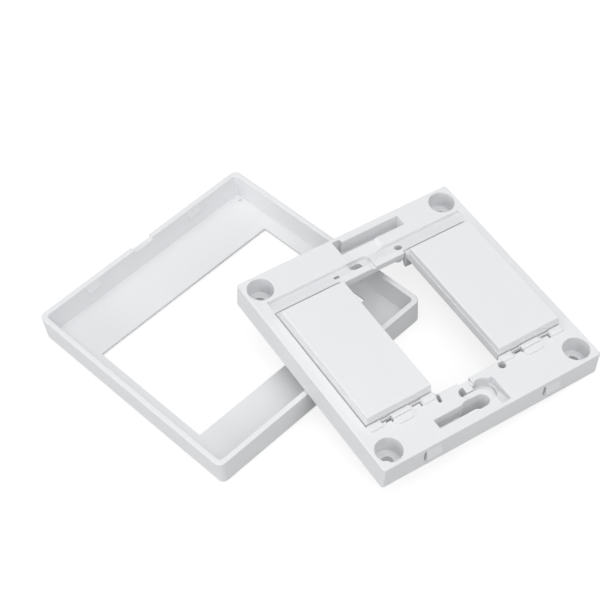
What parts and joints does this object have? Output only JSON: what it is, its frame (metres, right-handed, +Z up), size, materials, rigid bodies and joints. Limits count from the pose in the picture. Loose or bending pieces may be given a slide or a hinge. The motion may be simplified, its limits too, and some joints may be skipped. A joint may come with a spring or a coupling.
{
  "type": "modular wall plate",
  "caption": "Square wall plate for low-voltage jacks, opened up: cover frame face down, mounting plate leaning on its rim, blank inserts in the outer bays, middle bay open.",
  "frame": {"origin": "on the floor, under the middle of the whole lying assembly's box", "axes": "+Z up, off the floor; +X and +Y along the cover frame's edges, with its pry notch on the +Y side"},
  "size_m": [0.1228, 0.1402, 0.0245],
  "materials": {
    "cover_plastic": "satin white",
    "plate_plastic": "satin white",
    "insert_plastic": "satin white"
  },
  "bodies": {
    "root": {"cover_frame": "cover_plastic", "mounting_plate": "plate_plastic", "left_blank_insert": "insert_plastic", "right_blank_insert": "insert_plastic"}
  },
  "joints": []
}
